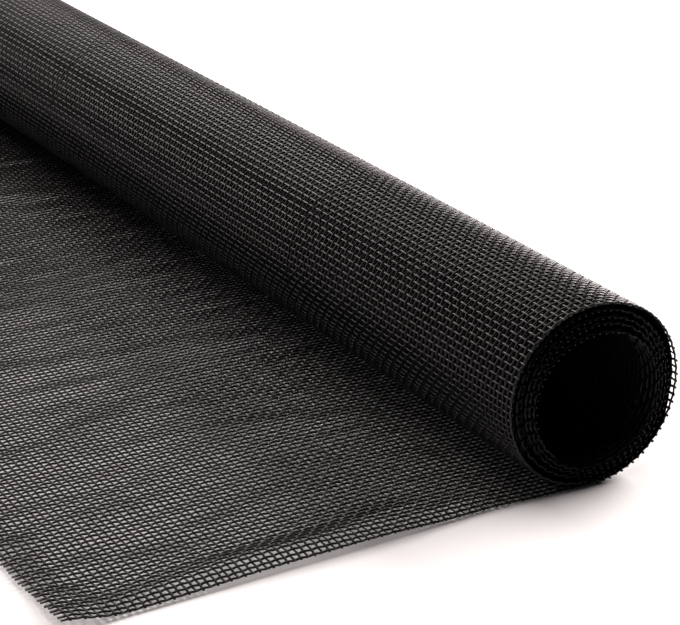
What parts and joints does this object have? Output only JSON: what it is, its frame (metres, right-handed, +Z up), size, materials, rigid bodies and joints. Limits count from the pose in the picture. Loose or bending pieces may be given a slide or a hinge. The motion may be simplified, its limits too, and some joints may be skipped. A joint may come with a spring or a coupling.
{
  "type": "roll of mesh fabric",
  "caption": "Hollow roll of black coated mesh cloth, wound with no core, its outer end spread flat on the surface beside it.",
  "frame": {"origin": "on the surface that the roll lies on, under the middle of the part's bounding box", "axes": "+Z up from the surface; +Y along the roll, from the end whose inner turns stand proud to the far end; the cloth's loose end lies spread towards -X, the roll is on the +X side"},
  "size_m": [0.2294, 0.6178, 0.0654],
  "materials": {
    "coated_mesh": "black coated thread in plain weave, soft satin sheen"
  },
  "bodies": {
    "root": {"wound_roll": "coated_mesh", "loose_end": "coated_mesh"}
  },
  "joints": []
}
